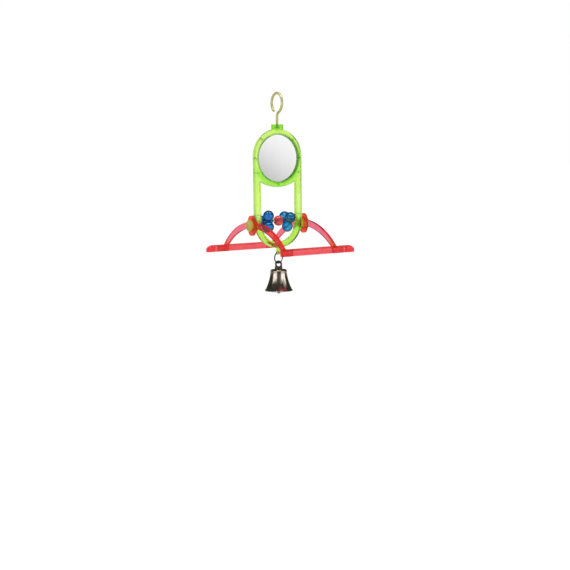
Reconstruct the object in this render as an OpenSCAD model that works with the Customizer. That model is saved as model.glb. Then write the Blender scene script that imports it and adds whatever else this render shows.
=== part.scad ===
// Hanging bird mirror with a rocking perch, spinner beads and a bell.
// The origin is where the hook bears on a cage bar. +Z is up and the front mirror faces -Y.
// The front of each turned frame piece is built along +Z and stood up with upright().

/* [Hook] */
// Thickness of the hook wire
wire_d = 2.4; // [1.8:0.1:3]
// Radius of the hook loop at the middle of the wire
hook_r = 9.1; // [7.5:0.1:12]
// Radius of the bend from the loop into the stem
neck_r = 4.8; // [3.5:0.1:7]
// Angle at which the open end of the loop stops
hook_tip = 230; // [205:1:240]
// Straight stem between the bend and the collar
stem_l = 7; // [5:0.5:14]

/* [Frame] */
// Outer radius of the arched top and of the rounded bottom, half the frame's width
frame_r = 26; // [25:0.2:32]
// Depth of the frame from front to back
frame_d = 5.8; // [5.2:0.2:8]
// Width of the two side rails
rail_w = 6.5; // [5.6:0.1:8]
// Width of the band at the bottom of the frame
base_w = 5.6; // [4.8:0.1:7]
// Rounding of the frame edges
edge_r = 1.5; // [0.8:0.1:2]
// Height of the arch's middle above the mirror's middle
arch_rise = 1.3; // [0:0.1:3]
// Outer radius of the flat arc that closes the mirror ring below
band_r = 36; // [32:0.5:50]
// Height of the band between the mirror opening and the window
band_h = 5.2; // [4.4:0.1:7]
// Height from the perch pivot to the middle of the mirror
mirror_rise = 62.5; // [58:0.5:75]
// Height of the bead axle above the perch pivot
bead_rise = 3.4; // [2:0.2:6]
// Diameter of the collar that holds the hook
collar_d = 11.4; // [10:0.2:14]
// Height of the collar above the mirror ring
collar_h = 4.2; // [3.8:0.1:7]
// Diameter of the round bosses that carry the perch
boss_d = 10.9; // [9:0.1:13]
// Length of each boss outside the frame
boss_l = 6.4; // [6:0.2:8]
// Diameter of the pins that join the two halves
pin_d = 1.5; // [1.2:0.1:1.7]
// Drop of the bell eyelet below the frame
eye_drop = 3.9; // [3.2:0.1:6]

/* [Mirror] */
// Radius of the round mirror opening
mirror_open_r = 22; // [20:0.1:22.2]
// How far the mirror reaches under the lip
mirror_lap = 1.2; // [0.8:0.1:1.4]
// Thickness of one mirror
mirror_t = 0.7; // [0.5:0.1:1.4]

/* [Beads] */
// Diameter of the bead axle
axle_d = 2.4; // [1.8:0.1:3]
// Radius of one spinner lobe
lobe_r = 5.2; // [4:0.1:5.6]
// Distance of the lobe middle from the axle
lobe_reach = 6; // [5.6:0.1:7.4]
// Diameter of the round middle bead
bead_d = 9.8; // [8:0.1:11]
// Sideways place of the middle bead
bead_x = 0.4; // [-1:0.1:1]

/* [Perch] */
// Gap between the side of the frame and each arm
arm_play = 0.4; // [0.3:0.1:2]
// Thickness of the arms along the axle
arm_t = 2.8; // [2.2:0.1:2.8]
// Distance of each perch bar from the pivot, front to back
arm_reach = 52; // [46:0.5:60]
// Drop of the bars below the pivot
arm_drop = 23.1; // [20:0.1:28]
// Height of the arm at its hub
arm_hub_h = 6; // [5.6:0.1:8]
// Height of the arm at its feet
arm_foot_h = 4.2; // [3.6:0.1:5]
// Height of the oval arm hub
hub_h = 19; // [17:0.2:22]
// Width of the oval arm hub
hub_w = 11.4; // [10.6:0.2:13]
// Thickness of the arm hub
hub_t = 2.2; // [1.8:0.1:3]
// Width of a perch bar
bar_w = 5.6; // [5:0.1:7]
// Height of a perch bar
bar_h = 6.6; // [5.6:0.1:8]
// Wall of the hollow perch bar
bar_wall = 1; // [0.8:0.1:1.3]
// Length of bar that sticks out past the arm
bar_over = 22.5; // [16:0.5:30]
// Length over which the bar's nose slopes down
nose_l = 8.6; // [7:0.1:10]
// Length of the plug on an arm foot
plug_l = 8; // [5:0.5:12]
// Angle at which the perch hangs with its front bar up
perch_lean = 1.5; // [0:0.1:4]

/* [Bell] */
// Radius of the jump ring at the middle of its wire
ring_r = 5.2; // [4.8:0.05:6]
// Thickness of the jump ring wire
ring_wire = 1.2; // [1:0.1:1.4]
// Radius of the bell crown
crown_r = 7.9; // [6.5:0.1:9]
// Radius of the bell mouth
mouth_r = 13.4; // [11.5:0.1:15]
// Height of the bell
bell_h = 20.4; // [17:0.2:24]
// Radius of the curve that flares the bell side
flare_r = 43; // [30:1:80]
// Sheet thickness of the bell
bell_t = 0.9; // [0.6:0.1:1.2]
// Diameter of the clapper tongue
tongue_d = 3.8; // [3:0.1:4.6]
// How far the clapper hangs out of the mouth
tongue_out = 3.2; // [1:0.2:6]

/* [Hidden] */
$fn = 72;
run = 0.08;
seat = 0.05;
seam = 0.02;
half_d = frame_d / 2;
loop_z = -(hook_r - wire_d / 2);
neck_z = loop_z - round(100 * sqrt(pow(hook_r + neck_r, 2) - pow(neck_r, 2))) / 100;
neck_a = atan2(neck_z - loop_z, neck_r);
collar_z = neck_z - stem_l;
head_rim = 1.4;
head_h = 1.6;
head_cover = 2.2;
head_r = wire_d / 2 + head_rim;
head_z = collar_z - head_cover - head_h;
arch_z = collar_z - collar_h - frame_r;
mirror_z = arch_z - arch_rise;
lip_round = 0.6;
pivot_z = mirror_z - mirror_rise;
bead_z = pivot_z + bead_rise;
window_r = frame_r - rail_w;
window_z = bead_z - frame_r + base_w + window_r;
pocket_r = mirror_open_r + mirror_lap + seat;
pocket_d = mirror_t + seat;
band_z = mirror_z - mirror_open_r - band_h + band_r;
pin_r = (pocket_r + frame_r) / 2;
pin_x = frame_r - rail_w / 2;
pin_l = half_d - 1.1;
pin_drop = 13.5;
pin_lift = 6;
boss_x = frame_r + boss_l;
axle_l = 2 * window_r + 5;
spinner_l = 2 * lobe_r - 0.4;
bead_play = 0.15;
spinner_play = 1.8;
right_x = bead_x + bead_d / 2 + bead_play + spinner_l / 2;
left_x = -window_r + lobe_r + spinner_play;
arm_x = frame_r + arm_play + arm_t / 2;
bar_z = pivot_z - arm_drop;
hub_x = arm_x + arm_t / 2 + 0.8;
hub_eye_d = boss_d + 2.7;
nose_tip = 1.2;
nose_top = bar_h + 0.4;
nose_r = (pow(nose_l, 2) + pow(nose_top - nose_tip, 2)) / (2 * (nose_top - nose_tip));
nose_w = bar_w + 0.4;
arm_lift = 0.6;
arm_fall = arm_lift + arm_drop - bar_h / 2 + 0.3;
foot_a = 2 * atan2(arm_fall, arm_reach);
foot_cut = foot_a + 1.2;
strap_r = arm_reach / sin(foot_a);
eye_d = ring_wire + 1.3;
eye_w = 3.2;
eye_r = half_d - 0.4;
eye_z = bead_z - frame_r - eye_drop;
ring_top = eye_z - 0.25;
ring_z = ring_top - ring_r;
ring_yaw = 13;
loop_wire = 1.8;
loop_r = 2.85;
loop_yaw = -55;
bell_loop_z = ring_z - ring_r + ring_wire / 2 + 0.12 + loop_wire / 2 - loop_r;
foot_h = 2.9;
foot_r = 3.7;
crown_z = bell_loop_z - loop_r + loop_wire / 2 - foot_h;
crown_round = 1.5;
lip_d = 1.1;
chord = sqrt(pow(mouth_r - crown_r, 2) + pow(bell_h, 2));
sag_l = sqrt(pow(flare_r, 2) - pow(chord / 2, 2));
flare_x = (crown_r + mouth_r) / 2 + sag_l * bell_h / chord;
flare_z = -bell_h / 2 + sag_l * (mouth_r - crown_r) / chord;
stalk_d = 2.2;
link_r = 1.75;
link_wire = 1.2;
link_z = crown_z - bell_t - link_r - link_wire / 2 - 0.9;
clapper_pivot = link_z - link_r;
clapper_eye_z = clapper_pivot + link_wire + 0.2 - link_r;
tongue_tip = crown_z - bell_h - tongue_out;

// Stands a shape that was built along +Z up so that its front looks to -Y
module upright(z) {
    translate([0, 0, z])
        rotate([90, 0, 0])
            children();
}

// Wire ring with its axis along Z
module wire_ring(middle_r, wire, sweep = 360) {
    rotate_extrude(angle = sweep)
        translate([middle_r, 0])
            circle(d = wire);
}

// Half section of a round plate whose outer front edge is rounded
module plate_section(r) {
    square([r - edge_r, half_d]);
    square([r, half_d - edge_r]);
    intersection() {
        translate([r - edge_r, half_d - edge_r])
            circle(edge_r);
        square([r, half_d]);
    }
}

// Half section of a round cutter that leaves a rounded front edge round the opening
module opening_section(r, rounding) {
    square([r, half_d + 1]);
    difference() {
        translate([r - 0.1, half_d - rounding])
            square([rounding + 0.1, rounding + 1]);
        translate([r + rounding, half_d - rounding])
            circle(rounding);
    }
}

// Both sides of a half section, for the straight run of the frame
module both_sides() {
    children();
    mirror([1, 0])
        children();
}

// Straight run of the frame between two heights
module straight_run(z_low, z_high) {
    translate([0, 0, z_low])
        mirror([0, 1, 0])
            linear_extrude(z_high - z_low)
                both_sides()
                    children();
}

// Window below the mirror, open to the bottom of the mirror ring
module window() {
    upright(window_z)
        rotate_extrude()
            opening_section(window_r, edge_r);
    straight_run(window_z, mirror_z)
        opening_section(window_r, edge_r);
}

// Half of a round plate, the upper one or the lower one
module half_plate(z, turn, r) {
    upright(z)
        rotate([0, 0, turn])
            rotate_extrude(angle = 180)
                plate_section(r);
}

// Outline of one frame half with rounded edges, before its fittings
module half_frame() {
    difference() {
        union() {
            half_plate(bead_z, 180, frame_r);
            straight_run(bead_z, arch_z)
                plate_section(frame_r);
            half_plate(arch_z, 0, frame_r);
        }
        window();
    }
    band();
}

// Band below the mirror, let into the flat of both rails
module band() {
    side = window_r + edge_r + 0.1;
    intersection() {
        upright(band_z)
            rotate_extrude()
                plate_section(band_r);
        translate([-side, -half_d, mirror_z - frame_r - band_h])
            cube([2 * side, half_d, frame_r + band_h + 2]);
    }
}

// Collar, bosses and eyelet tab as whole round pieces
module fittings() {
    translate([0, 0, collar_z - collar_h - 2])
        cylinder(h = collar_h + 2, d = collar_d);
    for (side = [-1, 1])
        translate([side * (frame_r - 1.2), 0, pivot_z])
            rotate([0, side * 90, 0])
                cylinder(h = boss_x - frame_r + 1.2, d = boss_d);
    translate([-eye_w / 2, 0, eye_z])
        rotate([0, 90, 0])
            cylinder(h = eye_w, r = eye_r);
    translate([-eye_w / 2, -eye_r, eye_z])
        cube([eye_w, 2 * eye_r, eye_drop + 1.2]);
}

// Hollows for the mirror, hook head, bead axle and jump ring
module hollows() {
    upright(mirror_z)
        rotate_extrude()
            opening_section(mirror_open_r, lip_round);
    upright(mirror_z)
        translate([0, 0, -1])
            cylinder(h = pocket_d + 1, r = pocket_r);
    translate([0, 0, head_z])
        cylinder(h = collar_z - head_z + 1, d = wire_d + 2 * run);
    translate([0, 0, head_z - 0.1])
        cylinder(h = head_h + 0.2, r = head_r + 0.2);
    translate([-axle_l / 2 - seat, 0, bead_z])
        rotate([0, 90, 0])
            cylinder(h = axle_l + 2 * seat, d = axle_d + 2 * seat);
    translate([-eye_w, 0, eye_z])
        rotate([0, 90, 0])
            cylinder(h = 2 * eye_w, d = eye_d);
}

// Places the joining pins round the mirror and above the bosses
module pin_places() {
    for (a = [0, 45, 135, 180, 270])
        translate([pin_r * cos(a), 0, mirror_z + pin_r * sin(a)])
            children();
    for (side = [-1, 1])
        for (z = [mirror_z - pin_drop, bead_z + pin_lift])
            translate([side * pin_x, 0, z])
                children();
}

// Front half with its fittings and hollows but without pins or sockets
module front_body() {
    intersection() {
        difference() {
            union() {
                half_frame();
                fittings();
            }
            hollows();
        }
        translate([-100, -50, eye_z - 50])
            cube([200, 50 - seam, 300]);
    }
}

// Smooths the joint between two runs of the hook wire
module knuckle(h, z) {
    translate([0, -h, z])
        sphere(d = wire_d + 0.04);
}

// Arc of the hook wire in the plane across the frame, with h counted towards the front
module hook_arc(h, z, r, from, to) {
    translate([0, -h, z])
        rotate([90, 0, 90])
            mirror([1, 0, 0])
                rotate([0, 0, from])
                    wire_ring(r, wire_d, to - from);
}

module hook() {
    color("goldenrod")
        union() {
            hook_arc(0, loop_z, hook_r, neck_a, hook_tip);
            knuckle(hook_r * cos(hook_tip), loop_z + hook_r * sin(hook_tip));
            knuckle(hook_r * cos(neck_a), loop_z + hook_r * sin(neck_a));
            hook_arc(neck_r, neck_z, neck_r, 180 + neck_a, 180);
            knuckle(0, neck_z);
            translate([0, 0, head_z])
                cylinder(h = neck_z - head_z, d = wire_d);
            translate([0, 0, head_z])
                cylinder(h = head_h, r = head_r);
        }
}

module frame_front() {
    color("greenyellow")
        difference() {
            front_body();
            pin_places()
                rotate([90, 0, 0])
                    cylinder(h = pin_l + 0.2, d = pin_d + 2 * seat);
        }
}

module frame_rear() {
    color("yellowgreen")
        union() {
            mirror([0, 1, 0])
                front_body();
            pin_places()
                translate([0, 0.5, 0])
                    rotate([90, 0, 0])
                        cylinder(h = pin_l + 0.5, d = pin_d);
        }
}

// Mirror disc with its back at the frame's middle
module mirror_disc() {
    upright(mirror_z)
        translate([0, 0, seam])
            cylinder(h = mirror_t, r = mirror_open_r + mirror_lap);
}

module mirror_front() {
    color("lightgray")
        mirror_disc();
}

module mirror_rear() {
    color("silver")
        mirror([0, 1, 0])
            mirror_disc();
}

module bead_axle() {
    color("gainsboro")
        translate([-axle_l / 2, 0, bead_z])
            rotate([0, 90, 0])
                cylinder(h = axle_l, d = axle_d);
}

// Three round lobes on a short barrel, turned so that one lobe leans by the given angle
module spinner(x, lean) {
    translate([x, 0, bead_z])
        rotate([0, 90, 0])
            difference() {
                union() {
                    cylinder(h = spinner_l, r = lobe_reach - 3.1, center = true);
                    for (a = [0, 120, 240])
                        rotate([0, 0, a + lean])
                            translate([lobe_reach, 0, 0])
                                sphere(lobe_r);
                }
                cylinder(h = 3 * lobe_r, d = axle_d + 2 * run, center = true);
            }
}

module left_spinner() {
    color("royalblue")
        spinner(left_x, 90);
}

module right_spinner() {
    color("mediumblue")
        spinner(right_x, 2);
}

module middle_bead() {
    color("crimson")
        translate([bead_x, 0, bead_z])
            rotate([0, 90, 0])
                difference() {
                    sphere(d = bead_d);
                    cylinder(h = 2 * bead_d, d = axle_d + 2 * run, center = true);
                }
}

// Section of a perch bar at its axis: a flat bottom and a round top, grown by a margin
module bar_section(margin) {
    w = bar_w + 2 * margin;
    top = bar_h / 2 + margin;
    translate([-w / 2, -bar_h / 2])
        square([w, bar_h / 2 + top - w / 2]);
    translate([0, top - w / 2])
        circle(d = w);
}

// Turns a section drawn across the bar into a run along X
module bar_run(x_from, x_to) {
    translate([x_from, 0, 0])
        rotate([90, 0, 90])
            linear_extrude(x_to - x_from)
                children();
}

// Curved strap of an arm seen from the side, with its middle over the pivot and its ends in the bars
module strap_side(grow) {
    outer_top = arm_hub_h / 2 + grow;
    outer_y = arm_reach + (arm_foot_h / 2 + grow) * sin(foot_a);
    outer_drop = outer_top + arm_fall - (arm_foot_h / 2 + grow) * cos(foot_a);
    outer_r = (pow(outer_y, 2) + pow(outer_drop, 2)) / (2 * outer_drop);
    inner_top = -arm_hub_h / 2 - grow;
    inner_y = arm_reach - (arm_foot_h / 2 + grow) * sin(foot_a);
    inner_drop = inner_top + arm_fall + (arm_foot_h / 2 + grow) * cos(foot_a);
    inner_r = (pow(inner_y, 2) + pow(inner_drop, 2)) / (2 * inner_drop);
    intersection() {
        difference() {
            translate([0, outer_top - outer_r])
                circle(outer_r, $fn = 180);
            translate([0, inner_top - inner_r])
                circle(inner_r, $fn = 180);
        }
        polygon([
            [0, -strap_r],
            [2 * strap_r * sin(foot_cut), strap_r * (2 * cos(foot_cut) - 1)],
            [0, 2 * strap_r],
            [-2 * strap_r * sin(foot_cut), strap_r * (2 * cos(foot_cut) - 1)]
        ]);
    }
}

// Both feet of the left arm: the front one caps its bar, the rear one lies inside its bar
module feet() {
    translate([0, -arm_reach, bar_z]) {
        bar_run(-arm_x - arm_t / 2, -arm_x + arm_t / 2)
            bar_section(0);
        bar_run(-arm_x, -arm_x + arm_t / 2 + plug_l)
            bar_section(-bar_wall - seat);
    }
    translate([0, arm_reach, bar_z])
        bar_run(-arm_x - arm_t / 2 - plug_l, -arm_x + arm_t / 2)
            bar_section(-bar_wall - seat);
}

// Oval hub plate seen from the end of the axle, with its height along X
module hub_side() {
    square([hub_h - hub_w, hub_w], center = true);
    for (side = [-1, 1])
        translate([side * (hub_h - hub_w) / 2, 0])
            circle(d = hub_w);
}

// Tilts a piece of the perch about the pivot
module leaned() {
    translate([0, 0, pivot_z])
        rotate([-perch_lean, 0, 0])
            translate([0, 0, -pivot_z])
                children();
}

// Left arm with hub and feet
module arm() {
    difference() {
        union() {
            translate([-arm_x - arm_t / 2, 0, pivot_z + arm_lift])
                rotate([90, 0, 90])
                    linear_extrude(arm_t)
                        strap_side(0);
            translate([-hub_x, 0, pivot_z])
                rotate([0, 90, 0])
                    linear_extrude(hub_t)
                        hub_side();
            translate([-hub_x, 0, pivot_z])
                rotate([0, 90, 0])
                    cylinder(h = hub_x - arm_x + arm_t / 2, d = hub_eye_d);
            feet();
        }
        translate([-2 * arm_x, 0, pivot_z])
            rotate([0, 90, 0])
                cylinder(h = 2 * arm_x, d = boss_d + 2 * run);
    }
}

module left_arm() {
    color("tomato")
        leaned()
            arm();
}

module right_arm() {
    color("indianred")
        leaned()
            rotate([0, 0, 180])
                arm();
}

// Outside of the rear bar: it starts at the right arm and ends in a rounded nose on the left
module bar_outside() {
    nose_x = -arm_x - bar_over;
    intersection() {
        translate([0, arm_reach, bar_z])
            bar_run(nose_x - 1, arm_x - arm_t / 2 - seat)
                bar_section(0);
        translate([0, arm_reach + bar_w, bar_z - bar_h / 2])
            rotate([90, 0, 0])
                linear_extrude(2 * bar_w) {
                    translate([nose_x + nose_l, -1])
                        square([3 * arm_x, nose_top + 1]);
                    intersection() {
                        translate([nose_x - 1, -1])
                            square([nose_l + 2, nose_top + 1]);
                        translate([nose_x + nose_l, nose_top - nose_r])
                            circle(nose_r);
                    }
                }
        translate([0, arm_reach, bar_z - bar_h])
            linear_extrude(2 * bar_h) {
                translate([nose_x + nose_w / 2, -nose_w / 2])
                    square([3 * arm_x, nose_w]);
                translate([nose_x + nose_w / 2, 0])
                    circle(d = nose_w);
            }
    }
}

// Rear bar, hollow and open below, with a notch for the arm that crosses it
module bar() {
    difference() {
        bar_outside();
        translate([0, arm_reach, bar_z])
            bar_run(-arm_x - bar_over + nose_l, 2 * arm_x)
                bar_section(-bar_wall);
        translate([0, arm_reach, bar_z - bar_h / 2])
            bar_run(-arm_x - bar_over + nose_l, 2 * arm_x)
                square([bar_w - 2 * bar_wall, bar_h], center = true);
        translate([-arm_x - arm_t / 2 - seat, 0, pivot_z + arm_lift])
            rotate([90, 0, 90])
                linear_extrude(arm_t + 2 * seat)
                    strap_side(seat);
    }
}

module rear_bar() {
    color("lightcoral")
        leaned()
            bar();
}

module front_bar() {
    color("salmon")
        leaned()
            rotate([0, 0, 180])
                bar();
}

module jump_ring() {
    color("dimgray")
        translate([0, 0, ring_z])
            rotate([90, 0, ring_yaw])
                rotate([0, 0, -26])
                    wire_ring(ring_r, ring_wire, 352);
}

// Half section of the bell, shrunk inwards by a thickness and carried on below the mouth
module bell_section(inset, below) {
    rounding = crown_round - inset;
    difference() {
        translate([0, -bell_h - below])
            square([mouth_r + below, bell_h + below - inset]);
        translate([flare_x, flare_z])
            circle(flare_r + inset, $fn = 180);
        difference() {
            translate([crown_r - inset - rounding, -inset - rounding])
                square(2 * crown_round);
            translate([crown_r - inset - rounding, -inset - rounding])
                circle(rounding);
        }
    }
}

module bell_shell() {
    color("darkgoldenrod")
        translate([0, 0, crown_z])
            rotate_extrude() {
                difference() {
                    bell_section(0, 0);
                    bell_section(bell_t, 1);
                    square([stalk_d + 2 * seat, 4 * bell_t], center = true);
                }
                translate([mouth_r - lip_d / 2, -bell_h + lip_d / 2])
                    circle(d = lip_d);
            }
}

module bell_hanger() {
    color("peru")
        union() {
            translate([0, 0, bell_loop_z])
                rotate([90, 0, loop_yaw])
                    wire_ring(loop_r, loop_wire);
            translate([0, 0, crown_z + seam])
                cylinder(h = foot_h - 0.2, r = foot_r);
            translate([0, 0, link_z + link_r])
                cylinder(h = crown_z - link_z - link_r + 1, d = stalk_d);
            translate([0, 0, link_z])
                rotate([90, 0, 0])
                    wire_ring(link_r, link_wire);
        }
}

module clapper() {
    color("lightsteelblue")
        union() {
            translate([0, 0, clapper_eye_z])
                rotate([0, 90, 0])
                    wire_ring(link_r, link_wire);
            translate([0, 0, clapper_eye_z - link_r - 2])
                cylinder(h = 2, d = link_wire + 0.4);
            translate([0, 0, tongue_tip + tongue_d / 2])
                cylinder(h = clapper_eye_z - link_r - 1.6 - tongue_tip - tongue_d / 2, d = tongue_d);
            translate([0, 0, tongue_tip + tongue_d / 2])
                sphere(d = tongue_d);
        }
}

hook();
frame_front();
frame_rear();
mirror_front();
mirror_rear();
bead_axle();
left_spinner();
middle_bead();
right_spinner();
left_arm();
right_arm();
front_bar();
rear_bar();
jump_ring();
bell_shell();
bell_hanger();
clapper();
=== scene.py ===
import math

import bmesh
import bpy
from mathutils import Matrix, Vector

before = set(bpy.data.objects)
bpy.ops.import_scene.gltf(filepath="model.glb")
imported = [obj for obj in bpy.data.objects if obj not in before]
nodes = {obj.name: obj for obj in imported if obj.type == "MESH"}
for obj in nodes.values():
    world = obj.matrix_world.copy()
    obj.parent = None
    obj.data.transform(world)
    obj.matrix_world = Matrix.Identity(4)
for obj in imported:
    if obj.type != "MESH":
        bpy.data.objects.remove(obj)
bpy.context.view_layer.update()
scene = bpy.context.scene


# Places on the part at rest, in metres

MIRROR_Z = -0.05944
BEAD_Z = -0.11854
BOSS_Z = -0.12194
RAIL_X = 0.0225
RAIL_PART_Z = BOSS_Z + 0.002
PIN_RING = 0.02463
PIN_SLANT = 0.01742
PIN_RAIL_X = 0.02275
PINS = [
    (PIN_RING, MIRROR_Z),
    (PIN_SLANT, MIRROR_Z + PIN_SLANT),
    (0, MIRROR_Z - PIN_RING),
    (PIN_RAIL_X, MIRROR_Z - 0.0135),
    (PIN_RAIL_X, BEAD_Z + 0.006),
]

# Spans over which a tint or a finish comes in or goes out

LIP_FACE = (0.0229, 0.0243)  # radius from the mirror's middle
LIP_WALL = (0.0227, 0.0234)
BAND = (0.025, 0.029)
LIP_TOP = (MIRROR_Z + 0.017, MIRROR_Z + 0.022)  # height
BAND_TOP = (MIRROR_Z - 0.016, MIRROR_Z - 0.006)
FOOT = (BEAD_Z - 0.003, BEAD_Z + 0.008)
COLLAR = (-0.0340, -0.0315)
PARTING = (0.0008, 0.0009)  # distance from the plane between the frame's halves
PIN_DEPTH = (0.002, 0.0022)
PIN = (0.0008, 0.0014)  # radius from a pin's axis
BOSS_ROUND = (0.0055, 0.0080)  # radius from a boss's axis
RIGHT_SIDE = (-0.001, 0.001)  # place in X
RAIL_IN = (0.016, 0.018)  # distance in X from the middle
BOSS_SKIN = (0.0250, 0.0262)
BOSS_WALL = (0.0261, 0.0264)
BOSS_END = (0.0306, 0.0312)
RAIL_PART = (0.0045, 0.0075)  # height from RAIL_PART_Z
HUB = (0.006, 0.010)  # distance in Y from the middle
ARM_FOOT = (0.046, 0.050)
ARM_FRONT = (-0.009, -0.003)  # place in Y
STEEP_WALL = (0.6, 0.9)  # part of the normal along the mirrors' axis
PLATE_WALL = (0.3, 0.95)  # part of the normal along a plate's axis


# Node helpers

MIX_FACTOR, MIX_COLOUR_A, MIX_COLOUR_B, MIX_COLOUR_OUT = 0, 6, 7, 2


def add(tree, kind, values=None, **settings):
    node = tree.nodes.new(kind)
    for key, value in settings.items():
        setattr(node, key, value)
    for key, value in (values or {}).items():
        node.inputs[key].default_value = value
    return node


def feed(tree, socket, value):
    """Sets a number on a socket, or links another node's output to it."""
    if isinstance(value, (int, float)):
        socket.default_value = value
    else:
        tree.links.new(value, socket)


def new_material(name):
    mat = bpy.data.materials.new(name)
    mat.use_nodes = True
    return mat, mat.node_tree, mat.node_tree.nodes["Principled BSDF"]


def bare_material(name):
    """Material with no node but its output."""
    mat = bpy.data.materials.new(name)
    mat.use_nodes = True
    mat.node_tree.nodes.clear()
    return mat, mat.node_tree, add(mat.node_tree, "ShaderNodeOutputMaterial")


def place(tree, stretch=(1, 1, 1), shift=0.0):
    """Object coordinates in metres, stretched and shifted."""
    coord = add(tree, "ShaderNodeTexCoord")
    mapping = add(tree, "ShaderNodeMapping", {"Scale": stretch, "Location": (shift, 2 * shift, -shift)})
    tree.links.new(coord.outputs["Object"], mapping.inputs["Vector"])
    return mapping.outputs["Vector"]


def parts_of(tree, coordinate):
    """X, Y and Z of a texture coordinate."""
    parts = add(tree, "ShaderNodeSeparateXYZ")
    tree.links.new(add(tree, "ShaderNodeTexCoord").outputs[coordinate], parts.inputs["Vector"])
    return parts.outputs


def noise(tree, vector, scale, detail=3.0, rough=0.55):
    node = add(tree, "ShaderNodeTexNoise", {"Scale": scale, "Detail": detail, "Roughness": rough})
    tree.links.new(vector, node.inputs["Vector"])
    return node.outputs["Fac"]


def fade(tree, value, span, start, end):
    """Goes smoothly from start to end as the value crosses the span."""
    low, high = span
    node = add(tree, "ShaderNodeMapRange", {
        "From Min": low, "From Max": high, "To Min": start, "To Max": end})
    node.interpolation_type = "SMOOTHSTEP"
    tree.links.new(value, node.inputs["Value"])
    return node.outputs["Result"]


def math_node(tree, operation, *values):
    node = add(tree, "ShaderNodeMath", operation=operation)
    for socket, value in zip(node.inputs, values):
        feed(tree, socket, value)
    return node.outputs["Value"]


def magnitude(tree, value):
    return math_node(tree, "ABSOLUTE", value)


def larger(tree, a, b):
    return math_node(tree, "MAXIMUM", a, b)


def times(tree, value, *others):
    for other in others:
        value = math_node(tree, "MULTIPLY", value, other)
    return value


def choose(tree, flag, no, yes):
    node = add(tree, "ShaderNodeMix", data_type="FLOAT")
    tree.links.new(flag, node.inputs["Factor"])
    feed(tree, node.inputs["A"], no)
    feed(tree, node.inputs["B"], yes)
    return node.outputs["Result"]


def mix_colour(tree, amount, colour, other):
    node = add(tree, "ShaderNodeMix", data_type="RGBA")
    node.inputs[MIX_COLOUR_B].default_value = (*other, 1)
    tree.links.new(amount, node.inputs[MIX_FACTOR])
    tree.links.new(colour, node.inputs[MIX_COLOUR_A])
    return node.outputs[MIX_COLOUR_OUT]


def tones(tree, value, *stops):
    ramp = add(tree, "ShaderNodeValToRGB")
    for element, (position, colour) in zip(ramp.color_ramp.elements, stops):
        element.position = position
        element.color = (*colour, 1)
    tree.links.new(value, ramp.inputs["Fac"])
    return ramp.outputs["Color"]


def bump(tree, bsdf, height, distance, strength):
    node = add(tree, "ShaderNodeBump", {"Distance": distance, "Strength": strength})
    tree.links.new(height, node.inputs["Height"])
    tree.links.new(node.outputs["Normal"], bsdf.inputs["Normal"])


def edge_mask(tree, axis, rim):
    """Painted shade mask: 1 on glancing faces, and up to 0.75 on the walls of a plate whose flat faces
    look along the axis.
    """
    glancing = add(tree, "ShaderNodeLayerWeight", {"Blend": 0.5}).outputs["Facing"]
    glancing = fade(tree, glancing, rim, 0.0, 1.0)
    if axis is None:
        return glancing
    flat = magnitude(tree, parts_of(tree, "Normal")[axis])
    return larger(tree, glancing, fade(tree, flat, PLATE_WALL, 0.75, 0.0))


# Tints and finishes by place

LIME_BAND = (0.55, 0.90, 0.36)
LIME_FOOT = (0.66, 0.92, 0.42)
# Painted shade: the greener right rail round the boss, where the hub sits behind it
LIME_RAIL_SHADE = (0.50, 1.0, 0.40)
# Painted shade: a dark ring on the outside of the mirrors' lips, deeper on their walls
LIME_LIP_SHADE = (0.08, 0.32, 0.02)
LIME_SHADE = (0.015, 0.09, 0.003)
LIME_PIN = (0.16, 0.50, 0.08)
LIME_COLLAR = (0.42, 0.84, 0.22)
BOSS_WARM = (1.0, 0.36, 0.10)
BOSS_OLIVE = (0.88, 1.0, 0.25)
RED_THICK = (1.0, 0.28, 0.09)
RED_DENSE = (0.98, 0.11, 0.04)


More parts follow.
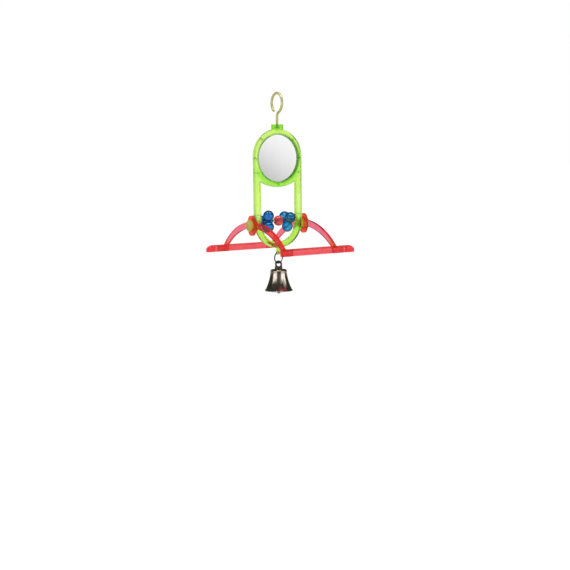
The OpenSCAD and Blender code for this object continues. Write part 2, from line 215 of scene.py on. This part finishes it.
def frame_tints(tree, colour):
    """Painted shade: deep green on the mirrors' lips, and a greener tint on the right rail round the boss
    where the hub sits behind it. Deep green on the pins, a denser band, foot and collar, and warm bosses."""
    at = parts_of(tree, "Object")
    aside = magnitude(tree, at["X"])
    forward = magnitude(tree, at["Y"])
    across = add(tree, "ShaderNodeCombineXYZ")
    tree.links.new(aside, across.inputs["X"])
    tree.links.new(at["Z"], across.inputs["Z"])

    def away(x, z):
        """Distance in X and Z from a point and from its twin on the other side."""
        node = add(tree, "ShaderNodeVectorMath", operation="DISTANCE")
        node.inputs[1].default_value = (x, 0, z)
        tree.links.new(across.outputs["Vector"], node.inputs[0])
        return node.outputs["Value"]

    middle = away(0, MIRROR_Z)
    wall = fade(tree, magnitude(tree, parts_of(tree, "Normal")["Y"]), STEEP_WALL, 1.0, 0.0)
    # The lip's painted shade is only on its outside, so that the clear arch in front of it stays light
    outside = math_node(tree, "SUBTRACT", 1.0, add(tree, "ShaderNodeNewGeometry").outputs["Backfacing"])
    front = times(tree, fade(tree, forward, PARTING, 0.0, 1.0), outside)
    sides = fade(tree, at["Z"], LIP_TOP, 0.9, 0.7)
    below = fade(tree, at["Z"], BAND_TOP, 1.0, 0.0)
    right = fade(tree, at["X"], RIGHT_SIDE, 0.0, 1.0)
    pin_end = fade(tree, forward, PIN_DEPTH, 1.0, 0.0)
    tints = [
        (times(tree, fade(tree, middle, BAND, 0.75, 0.0), below), LIME_BAND),
        (fade(tree, at["Z"], FOOT, 0.6, 0.0), LIME_FOOT),
        # Painted shade of the hub behind the right rail
        (times(tree, fade(tree, away(RAIL_X, BOSS_Z), BOSS_ROUND, 0.7, 0.0), right), LIME_RAIL_SHADE),
        # Painted shade on the outside of the mirrors' lips, and deeper on their walls
        (times(tree, fade(tree, middle, LIP_FACE, 1.0, 0.0), front, sides), LIME_LIP_SHADE),
        (times(tree, fade(tree, middle, LIP_WALL, 1.0, 0.0), wall, front), LIME_SHADE),
    ]
    for x, z in PINS:
        tints.append((times(tree, fade(tree, away(x, z), PIN, 0.7, 0.0), pin_end), LIME_PIN))
    tints += [
        (fade(tree, at["Z"], COLLAR, 0.0, 0.75), LIME_COLLAR),
        (fade(tree, aside, BOSS_WALL, 0.0, 1.0), BOSS_WARM),
        (fade(tree, aside, BOSS_END, 0.0, 1.0), BOSS_OLIVE),
    ]
    for amount, tint in tints:
        colour = mix_colour(tree, amount, colour, tint)
    return colour


def boss_frost(tree):
    """Matt skin on the bosses, where the arms rub, and on the rails round them."""
    at = parts_of(tree, "Object")
    aside = magnitude(tree, at["X"])
    level = magnitude(tree, math_node(tree, "SUBTRACT", at["Z"], RAIL_PART_Z))
    rail = times(tree, fade(tree, level, RAIL_PART, 0.4, 0.0), fade(tree, aside, RAIL_IN, 0.0, 1.0))
    return larger(tree, fade(tree, aside, BOSS_SKIN, 0.0, 0.5), rail)


def boss_cloud(tree):
    """Cloud in the ends of the bosses."""
    return fade(tree, magnitude(tree, parts_of(tree, "Object")["X"]), BOSS_END, 0.0, 0.3)


def hubs_and_feet(tree, full):
    """The full value at the hubs and at the feet inside the bars, and 0 between them."""
    reach = magnitude(tree, parts_of(tree, "Object")["Y"])
    return larger(tree, fade(tree, reach, HUB, full, 0.0), fade(tree, reach, ARM_FOOT, 0.0, full))


def arm_tints(tree, colour):
    """Warmer red where the arms are thick."""
    return mix_colour(tree, hubs_and_feet(tree, 1.0), colour, RED_THICK)


def near_arm_tints(tree, colour):
    """Denser dye in the front half of the left arm."""
    dense = fade(tree, parts_of(tree, "Object")["Y"], ARM_FRONT, 0.85, 0.0)
    return mix_colour(tree, dense, arm_tints(tree, colour), RED_DENSE)


def arm_frost(tree):
    """Matt skin where the arms are thick."""
    return hubs_and_feet(tree, 0.35)


# Materials. The shift moves the noise, so that no two materials have the same marks.

COAT_IOR = 1.5
COAT_ROUGHNESS = 0.04


def plastic(name, face, deep, edge, dye, density, ior, shift, axis=None, rim=(0.4, 1.0), coat=0.4,
            tint=None, frost=None, cloud=None, clear=0.96, swirl=90, ripple=0.04):
    """Clear dyed plastic: the dye deepens with the way through it, painted shade darkens the edges, and
    the skin has flow marks and fine scuffs."""
    mat, tree, bsdf = new_material(name)
    bsdf.inputs["Transmission Weight"].default_value = clear
    if cloud:
        feed(tree, bsdf.inputs["Transmission Weight"], math_node(tree, "SUBTRACT", clear, cloud(tree)))
    bsdf.inputs["IOR"].default_value = ior
    bsdf.inputs["Coat Weight"].default_value = coat
    bsdf.inputs["Coat IOR"].default_value = COAT_IOR
    bsdf.inputs["Coat Roughness"].default_value = COAT_ROUGHNESS
    flow = noise(tree, place(tree, (1, 1, 0.35), shift), swirl)
    colour = tones(tree, flow, (0.3, deep), (0.7, face))
    # Painted shade: the edge colour on glancing faces and plate walls
    colour = mix_colour(tree, edge_mask(tree, axis, rim), colour, edge)
    if tint:
        colour = tint(tree, colour)
    tree.links.new(colour, bsdf.inputs["Base Color"])
    scuff = noise(tree, place(tree, shift=shift + 0.2), scale=400, detail=4, rough=0.65)
    rough = fade(tree, scuff, (0.5, 0.8), 0.02, 0.1)
    if frost:
        rough = larger(tree, rough, frost(tree))
    tree.links.new(rough, bsdf.inputs["Roughness"])
    wave = noise(tree, place(tree, (1, 1, 0.6), shift + 0.4), scale=160, detail=1)
    bump(tree, bsdf, wave, distance=0.0004, strength=ripple)
    volume = add(tree, "ShaderNodeVolumeAbsorption", {"Color": (*dye, 1), "Density": density})
    tree.links.new(volume.outputs["Volume"], tree.nodes["Material Output"].inputs["Volume"])
    return mat


def metal(name, pale, deep, shift, rough, marks=(1, 1, 1), metallic=1.0):
    """Metal with tarnish in soft patches, and fine drawn or turned marks."""
    mat, tree, bsdf = new_material(name)
    bsdf.inputs["Metallic"].default_value = metallic
    patch = noise(tree, place(tree, shift=shift), scale=150, detail=4, rough=0.6)
    tree.links.new(tones(tree, patch, (0.34, deep), (0.62, pale)), bsdf.inputs["Base Color"])
    grain = noise(tree, place(tree, marks, shift + 0.3), scale=600, rough=0.6)
    tree.links.new(fade(tree, grain, (0.35, 0.75), *rough), bsdf.inputs["Roughness"])
    bump(tree, bsdf, grain, distance=0.00005, strength=0.1)
    return mat


def mirror_glass(name, shift):
    """Silvered disc with faint wipe marks."""
    mat, tree, bsdf = new_material(name)
    bsdf.inputs["Metallic"].default_value = 1
    haze = noise(tree, place(tree, (1, 1, 0.3), shift), scale=110, detail=4, rough=0.6)
    silver = tones(tree, haze, (0.3, (0.91, 0.92, 0.91)), (0.7, (0.95, 0.955, 0.95)))
    tree.links.new(silver, bsdf.inputs["Base Color"])
    wipe = noise(tree, place(tree, (1, 1, 0.15), shift + 0.3), scale=420, detail=4, rough=0.7)
    tree.links.new(fade(tree, wipe, (0.4, 0.8), 0.02, 0.06), bsdf.inputs["Roughness"])
    wave = noise(tree, place(tree, shift=shift + 0.6), scale=60, detail=1)
    bump(tree, bsdf, wave, distance=0.0002, strength=0.02)
    return mat


SOFT_IOR = 1.3
RIM_NORMAL = 0.5  # the raw rim is where the normal leaves the mirrors' axis
# Each plastic's edge colour is painted shade on its glancing faces and plate walls
ARM_RED = {
    "face": (0.93, 0.55, 0.64), "deep": (0.90, 0.50, 0.58), "dye": (0.98, 0.03, 0.25), "density": 320,
    "ior": SOFT_IOR, "axis": 0, "coat": 0.1, "frost": arm_frost,
}
SPINNER_BLUE = {
    "face": (0.06, 0.82, 1.0), "deep": (0.01, 0.28, 0.80), "edge": (0.0, 0.02, 0.10),
    "dye": (0.02, 0.52, 0.78), "ior": 1.5, "rim": (0.05, 0.6), "coat": 0.0, "swirl": 300, "ripple": 0.12,
}
lime = plastic(
    "lime_plastic", face=(0.88, 1.0, 0.83), deep=(0.79, 0.98, 0.71), edge=(0.44, 0.74, 0.24),
    dye=(0.94, 0.985, 0.014), density=200, ior=SOFT_IOR, shift=0.0, axis=1, coat=0.2,
    tint=frame_tints, frost=boss_frost, cloud=boss_cloud)
red = plastic("red_plastic", edge=(0.92, 0.18, 0.15), shift=1.0, tint=arm_tints, clear=0.92, **ARM_RED)
red_near = plastic(
    "red_near_plastic", edge=(0.62, 0.08, 0.05), shift=1.2, tint=near_arm_tints, clear=0.9, **ARM_RED)
red_bar = plastic(
    "red_bar_plastic", face=(0.98, 0.55, 0.57), deep=(0.96, 0.48, 0.50), edge=(0.80, 0.12, 0.09),
    dye=(0.97, 0.036, 0.107), density=520, ior=SOFT_IOR, shift=1.5)
ruby = plastic(
    "ruby_plastic", face=(0.98, 0.26, 0.27), deep=(0.94, 0.20, 0.20), edge=(0.40, 0.03, 0.04),
    dye=(0.85, 0.07, 0.12), density=180, ior=1.45, shift=2.0, clear=0.8)
blue = plastic("blue_plastic", density=250, shift=3.0, clear=0.87, **SPINNER_BLUE)
blue_right = plastic("blue_right_plastic", density=80, shift=3.5, clear=0.8, **SPINNER_BLUE)
brass = metal("pale_brass", (0.73, 0.69, 0.30), (0.65, 0.60, 0.24), 4.0, (0.4, 0.55), (1, 1, 0.2), 0.5)
bronze = metal("dark_bronze", (0.46, 0.41, 0.35), (0.38, 0.32, 0.255), 5.0, (0.12, 0.2), (0.3, 0.3, 1.6))
bronze_dull = metal("dull_bronze", (0.12, 0.10, 0.085), (0.07, 0.058, 0.048), 6.0, (0.25, 0.4))
steel = metal("clapper_steel", (0.44, 0.41, 0.40), (0.32, 0.29, 0.28), 7.0, (0.2, 0.35), (1, 1, 0.3))
dark_wire = metal("dark_wire", (0.07, 0.07, 0.07), (0.045, 0.045, 0.045), 8.0, (0.25, 0.4))
axle_wire = metal("axle_wire", (0.70, 0.70, 0.70), (0.55, 0.55, 0.55), 9.0, (0.15, 0.3), (0.2, 1, 1))
mirror_rim = metal("mirror_rim", (0.92, 0.94, 0.90), (0.84, 0.87, 0.80), 12.0, (0.4, 0.6), metallic=0.0)

finishes = {
    "hook": brass,
    "frame_front": lime,
    "frame_rear": lime,
    "mirror_front": mirror_glass("mirror_glass_front", 10.0),
    "mirror_rear": mirror_glass("mirror_glass_rear", 11.0),
    "bead_axle": axle_wire,
    "left_spinner": blue,
    "middle_bead": ruby,
    "right_spinner": blue_right,
    "left_arm": red_near,
    "right_arm": red,
    "front_bar": red_bar,
    "rear_bar": red_bar,
    "jump_ring": dark_wire,
    "bell_shell": bronze,
    "bell_hanger": bronze_dull,
    "clapper": steel,
}
for name, finish in finishes.items():
    nodes[name].data.materials.clear()
    nodes[name].data.materials.append(finish)
for name in ("mirror_front", "mirror_rear"):
    nodes[name].data.materials.append(mirror_rim)
    for face in nodes[name].data.polygons:
        face.material_index = int(abs(face.normal.y) < RIM_NORMAL)


# Camera at the photograph's viewing angle

PICTURE_PX = 570
FOCAL_PX = 1050.0
SENSOR_MM = 36
VIEW_AZ = math.radians(-32)
VIEW_EL = math.radians(2.56)
VIEW_ROLL = math.radians(-0.57)
VIEW_DISTANCE = 1.0
TARGET = Vector((0, 0, -0.0932))
TARGET_PX = (277.8, 194.0)
AIM_STEPS = 40


def towards(azimuth, elevation):
    """Unit vector from the part to a viewer."""
    flat = math.cos(elevation)
    return Vector((math.sin(azimuth) * flat, -math.cos(azimuth) * flat, math.sin(elevation)))


def aim():
    """Camera matrix that shows the target at its pixel."""
    back = towards(VIEW_AZ, VIEW_EL)
    eye = TARGET + VIEW_DISTANCE * back
    want_x = (TARGET_PX[0] - PICTURE_PX / 2) / FOCAL_PX
    want_y = (PICTURE_PX / 2 - TARGET_PX[1]) / FOCAL_PX
    ahead = -back
    for _ in range(AIM_STEPS):
        side = ahead.cross(Vector((0, 0, 1))).normalized()
        up = side.cross(ahead).normalized()
        right = side * math.cos(VIEW_ROLL) + up * math.sin(VIEW_ROLL)
        above = up * math.cos(VIEW_ROLL) - side * math.sin(VIEW_ROLL)
        seen = -back / -back.dot(ahead)
        ahead = ahead + right * (seen.dot(right) - want_x) + above * (seen.dot(above) - want_y)
        ahead.normalize()
    rows = [(right[i], above[i], -ahead[i], eye[i]) for i in range(3)]
    return Matrix((*rows, (0, 0, 0, 1)))


camera_data = bpy.data.cameras.new("camera")
camera_data.sensor_width = SENSOR_MM
camera_data.sensor_fit = "HORIZONTAL"
camera_data.lens = FOCAL_PX * SENSOR_MM / PICTURE_PX
camera = bpy.data.objects.new("camera", camera_data)
camera.matrix_world = aim()
scene.collection.objects.link(camera)
scene.camera = camera


# World: white for the camera and through the plastic, and a dim room for first reflections, which gives
# the bell its dark zones

SOFT_LIGHT = 0.7
DIM_ROOM = 0.06
IN_PLASTIC = 0.9
THROUGH_LEVEL, THROUGH_STEEP = 1.0, 0.45
STEEP_RAYS = (0.3, 0.75)
FIRST_PASS = (0.4, 0.6)

world = bpy.data.worlds.new("studio")
world.use_nodes = True
scene.world = world
sky = world.node_tree
rays = add(sky, "ShaderNodeLightPath").outputs
steep = magnitude(sky, parts_of(sky, "Generated")["Z"])
through = fade(sky, steep, STEEP_RAYS, THROUGH_LEVEL, THROUGH_STEEP)
reflected = fade(sky, rays["Transmission Depth"], FIRST_PASS, DIM_ROOM, IN_PLASTIC)
level = choose(sky, rays["Is Glossy Ray"], SOFT_LIGHT, reflected)
level = choose(sky, rays["Is Transmission Ray"], level, through)
level = choose(sky, rays["Is Camera Ray"], level, 1.0)
background = sky.nodes["Background"]
background.inputs["Color"].default_value = (1, 1, 1, 1)
sky.links.new(level, background.inputs["Strength"])


# Floor, light panels and cards

DOWN = (0, 0, -1)
PANEL_RADIUS = 0.6
PANEL_TOP = 0.13
PANEL_LOW = -0.158
CARD_LOW = -0.125
REAR_CARD_LOW, REAR_CARD_TOP = -0.10, 0.45
PANEL_STEPS = 24
MIRROR_CARD_SIZE = 0.042
MIRROR_CARD_DISTANCE = 0.3
MIRROR_CARD_AIM = Vector((0, 0, -0.0594))
MIRROR_CARD_FALL = -0.012
FLOOR_RADIUS = 40
FLOOR_Z = -0.8
FLOOR_TO_CAMERA = 0.5
FLOOR_THROUGH_PLASTIC = 0.46
LAMP_TARGET = Vector((0, 0, -0.1))
LAMP_DISTANCE = 0.9
LAMP_EL = math.radians(72)


def stage_object(name, make):
    data = bpy.data.meshes.new(name)
    bm = bmesh.new()
    make(bm)
    bm.to_mesh(data)
    bm.free()
    obj = bpy.data.objects.new(name, data)
    scene.collection.objects.link(obj)
    return obj


def glow(name, strength, along, span, least=0.0):
    """Light cloth that goes from the least share of its strength to all of it along a direction."""
    mat, tree, out = bare_material(name)
    emission = add(tree, "ShaderNodeEmission")
    tree.links.new(emission.outputs["Emission"], out.inputs["Surface"])
    reach = add(tree, "ShaderNodeVectorMath", operation="DOT_PRODUCT")
    reach.inputs[1].default_value = along
    tree.links.new(add(tree, "ShaderNodeTexCoord").outputs["Object"], reach.inputs[0])
    level = fade(tree, reach.outputs["Value"], span, least * strength, strength)
    tree.links.new(level, emission.inputs["Strength"])
    return mat


def show_in_reflections_only(obj):
    obj.visible_camera = False
    obj.visible_shadow = False
    obj.visible_diffuse = False
    obj.visible_transmission = False


def panel(name, az_from, az_to, low, high, material):
    """Upright light panel bent round the object."""
    def make(bm):
        columns = []
        for i in range(PANEL_STEPS + 1):
            a = math.radians(az_from + (az_to - az_from) * i / PANEL_STEPS)
            x, y = PANEL_RADIUS * math.sin(a), -PANEL_RADIUS * math.cos(a)
            columns.append([bm.verts.new((x, y, z)) for z in (low, high)])
        for a, b in zip(columns, columns[1:]):
            bm.faces.new((a[0], b[0], b[1], a[1]))
    obj = stage_object(name, make)
    obj.data.materials.append(material)
    show_in_reflections_only(obj)


cloth = glow("panel_cloth", 2.4, DOWN, (-0.108, 0.04))
front_cloth = glow("front_cloth", 0.8, DOWN, (-0.13, 0.1), 0.7)
mid_cloth = glow("mid_cloth", 0.2, DOWN, (-0.13, 0.1), 0.7)
rear_cloth = glow("rear_cloth", 0.75, DOWN, (-0.4, 0.0), 0.6)
panel("panel_left", -107, -56.5, PANEL_LOW, PANEL_TOP, cloth)
panel("panel_right", 3, 58, PANEL_LOW, PANEL_TOP, cloth)
panel("front_card", -9, 3, CARD_LOW, PANEL_TOP, front_cloth)
panel("mid_card", -56.5, -9, CARD_LOW, PANEL_TOP, mid_cloth)
panel("rear_card", 174.5, 185.5, REAR_CARD_LOW, REAR_CARD_TOP, rear_cloth)

# The front mirror shows this card to the camera
card = stage_object("mirror_card", lambda bm: bmesh.ops.create_grid(
    bm, x_segments=1, y_segments=1, size=MIRROR_CARD_SIZE))
card_way = Vector((-math.sin(VIEW_AZ), -math.cos(VIEW_AZ), MIRROR_CARD_FALL)).normalized()
card.location = MIRROR_CARD_AIM + MIRROR_CARD_DISTANCE * card_way
card.rotation_euler = (-card_way).to_track_quat("Z", "Y").to_euler()
card.data.materials.append(glow("card_cloth", 1.0, (-0.6, 0.8, 0), (-0.05, 0.03), 0.5))
show_in_reflections_only(card)


def floor_paper():
    """Pale paper that also glows to the camera and through the plastic, so that it is as white as the
    world."""
    mat, tree, out = bare_material("floor_paper")
    matt = add(tree, "ShaderNodeBsdfDiffuse", {"Color": (0.8, 0.8, 0.8, 1)})
    glowing = add(tree, "ShaderNodeEmission", {"Color": (1, 1, 1, 1)})
    both = add(tree, "ShaderNodeAddShader")
    seen = add(tree, "ShaderNodeLightPath").outputs
    to_camera = times(tree, seen["Is Camera Ray"], FLOOR_TO_CAMERA)
    to_plastic = times(tree, seen["Is Transmission Ray"], FLOOR_THROUGH_PLASTIC)
    tree.links.new(larger(tree, to_camera, to_plastic), glowing.inputs["Strength"])
    tree.links.new(matt.outputs["BSDF"], both.inputs[0])
    tree.links.new(glowing.outputs["Emission"], both.inputs[1])
    tree.links.new(both.outputs["Shader"], out.inputs["Surface"])
    return mat


floor = stage_object("floor", lambda bm: bmesh.ops.create_circle(
    bm, cap_ends=True, segments=64, radius=FLOOR_RADIUS))
floor.location.z = FLOOR_Z
floor.data.materials.append(floor_paper())


def lamp(name, azimuth, size, radiance):
    data = bpy.data.lights.new(name, "AREA")
    data.shape = "RECTANGLE"
    data.size, data.size_y = size
    data.energy = radiance * math.pi * size[0] * size[1]
    obj = bpy.data.objects.new(name, data)
    scene.collection.objects.link(obj)
    way = towards(math.radians(azimuth), LAMP_EL)
    obj.location = LAMP_TARGET + LAMP_DISTANCE * way
    obj.rotation_euler = way.to_track_quat("Z", "Y").to_euler()
    obj.visible_camera = False
    obj.visible_transmission = False


lamp("key_light", -75, (0.3, 0.3), 10)
lamp("fill_light", 20, (0.4, 0.2), 8)

scene.view_settings.view_transform = "Standard"
